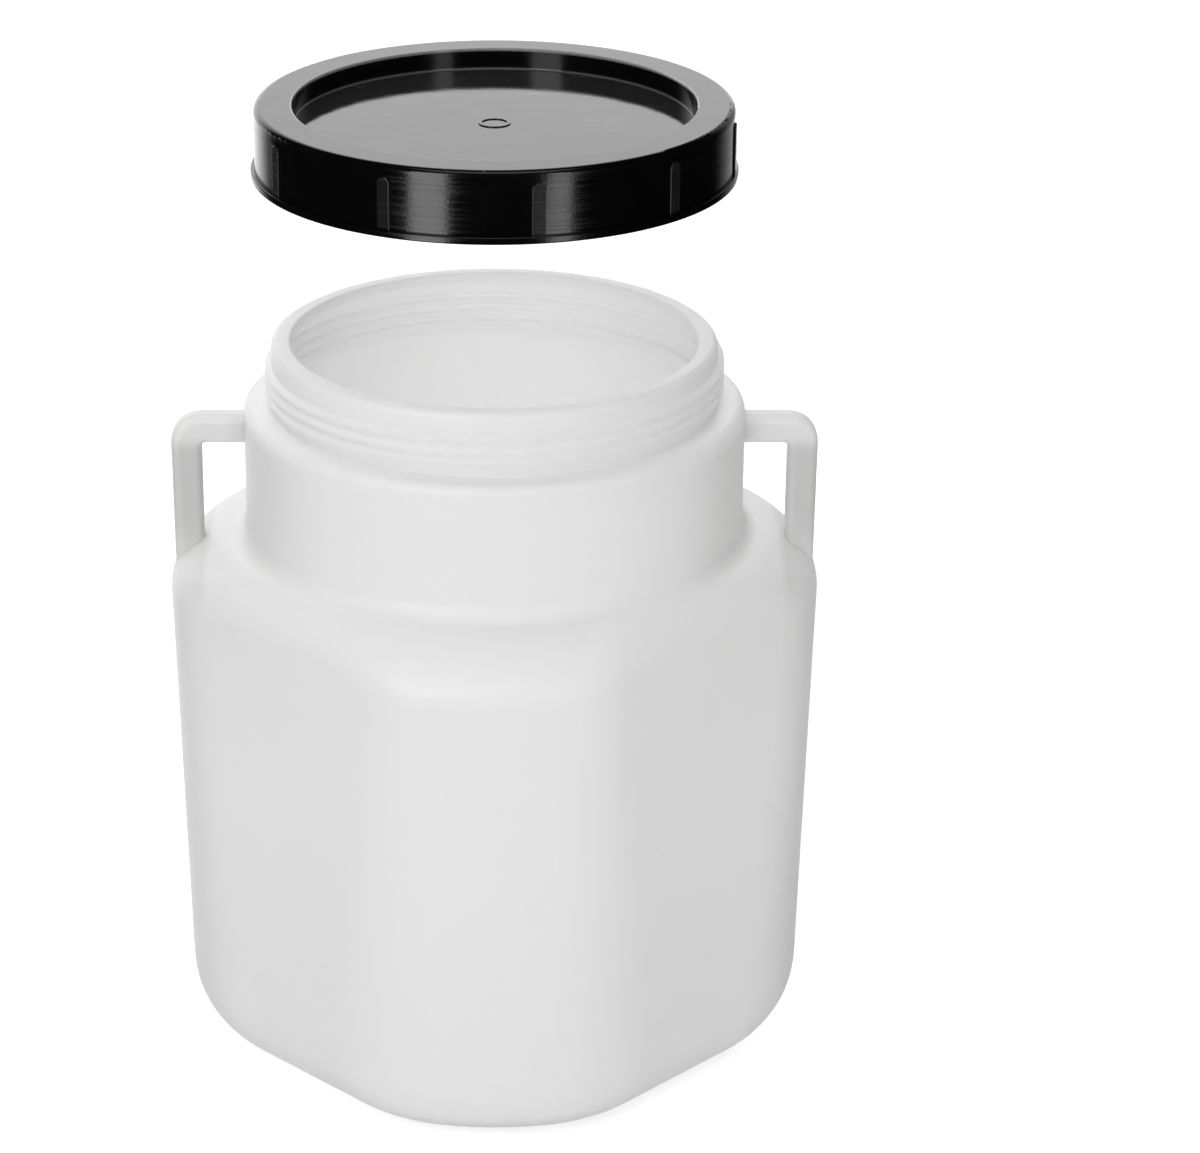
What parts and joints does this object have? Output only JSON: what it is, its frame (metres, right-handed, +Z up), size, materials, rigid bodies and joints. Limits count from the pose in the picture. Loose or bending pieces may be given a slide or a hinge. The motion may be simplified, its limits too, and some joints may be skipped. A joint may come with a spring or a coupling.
{
  "type": "fermentation jar",
  "caption": "Square white plastic jar with a wide threaded neck, moulded side handles and a ribbed black screw lid, lifted off above the neck.",
  "frame": {"origin": "centre of the jar's foot, on the surface that it stands on", "axes": "+Z up along the neck's axis, X through the handles, -Y towards the viewer of the picture"},
  "size_m": [0.3102, 0.3102, 0.4714],
  "materials": {
    "jar": "satin natural white polyethylene, slightly translucent",
    "lid": "semi-gloss black moulded plastic",
    "lid_gasket": "soft light grey sealing ring"
  },
  "bodies": {
    "jar_body": {"jar": "jar"},
    "gasket_body": {"lid_gasket": "lid_gasket"},
    "lid_body": {"lid": "lid"}
  },
  "joints": [
    {"name": "lid_rise", "type": "slide", "parent": "jar_body", "child": "gasket_body", "axis": [0, 0, 1], "range_m": [-0.11021, 0]},
    {"name": "lid_turn", "type": "hinge", "parent": "gasket_body", "child": "lid_body", "pos_m": [0, 0, 0.4549], "axis": [0, 0, 1], "range_deg": [-6840, 0]}
  ],
  "couplings": [
    {"joint": "lid_rise", "follows": "lid_turn", "m_per_rad": 0.0009231}
  ]
}
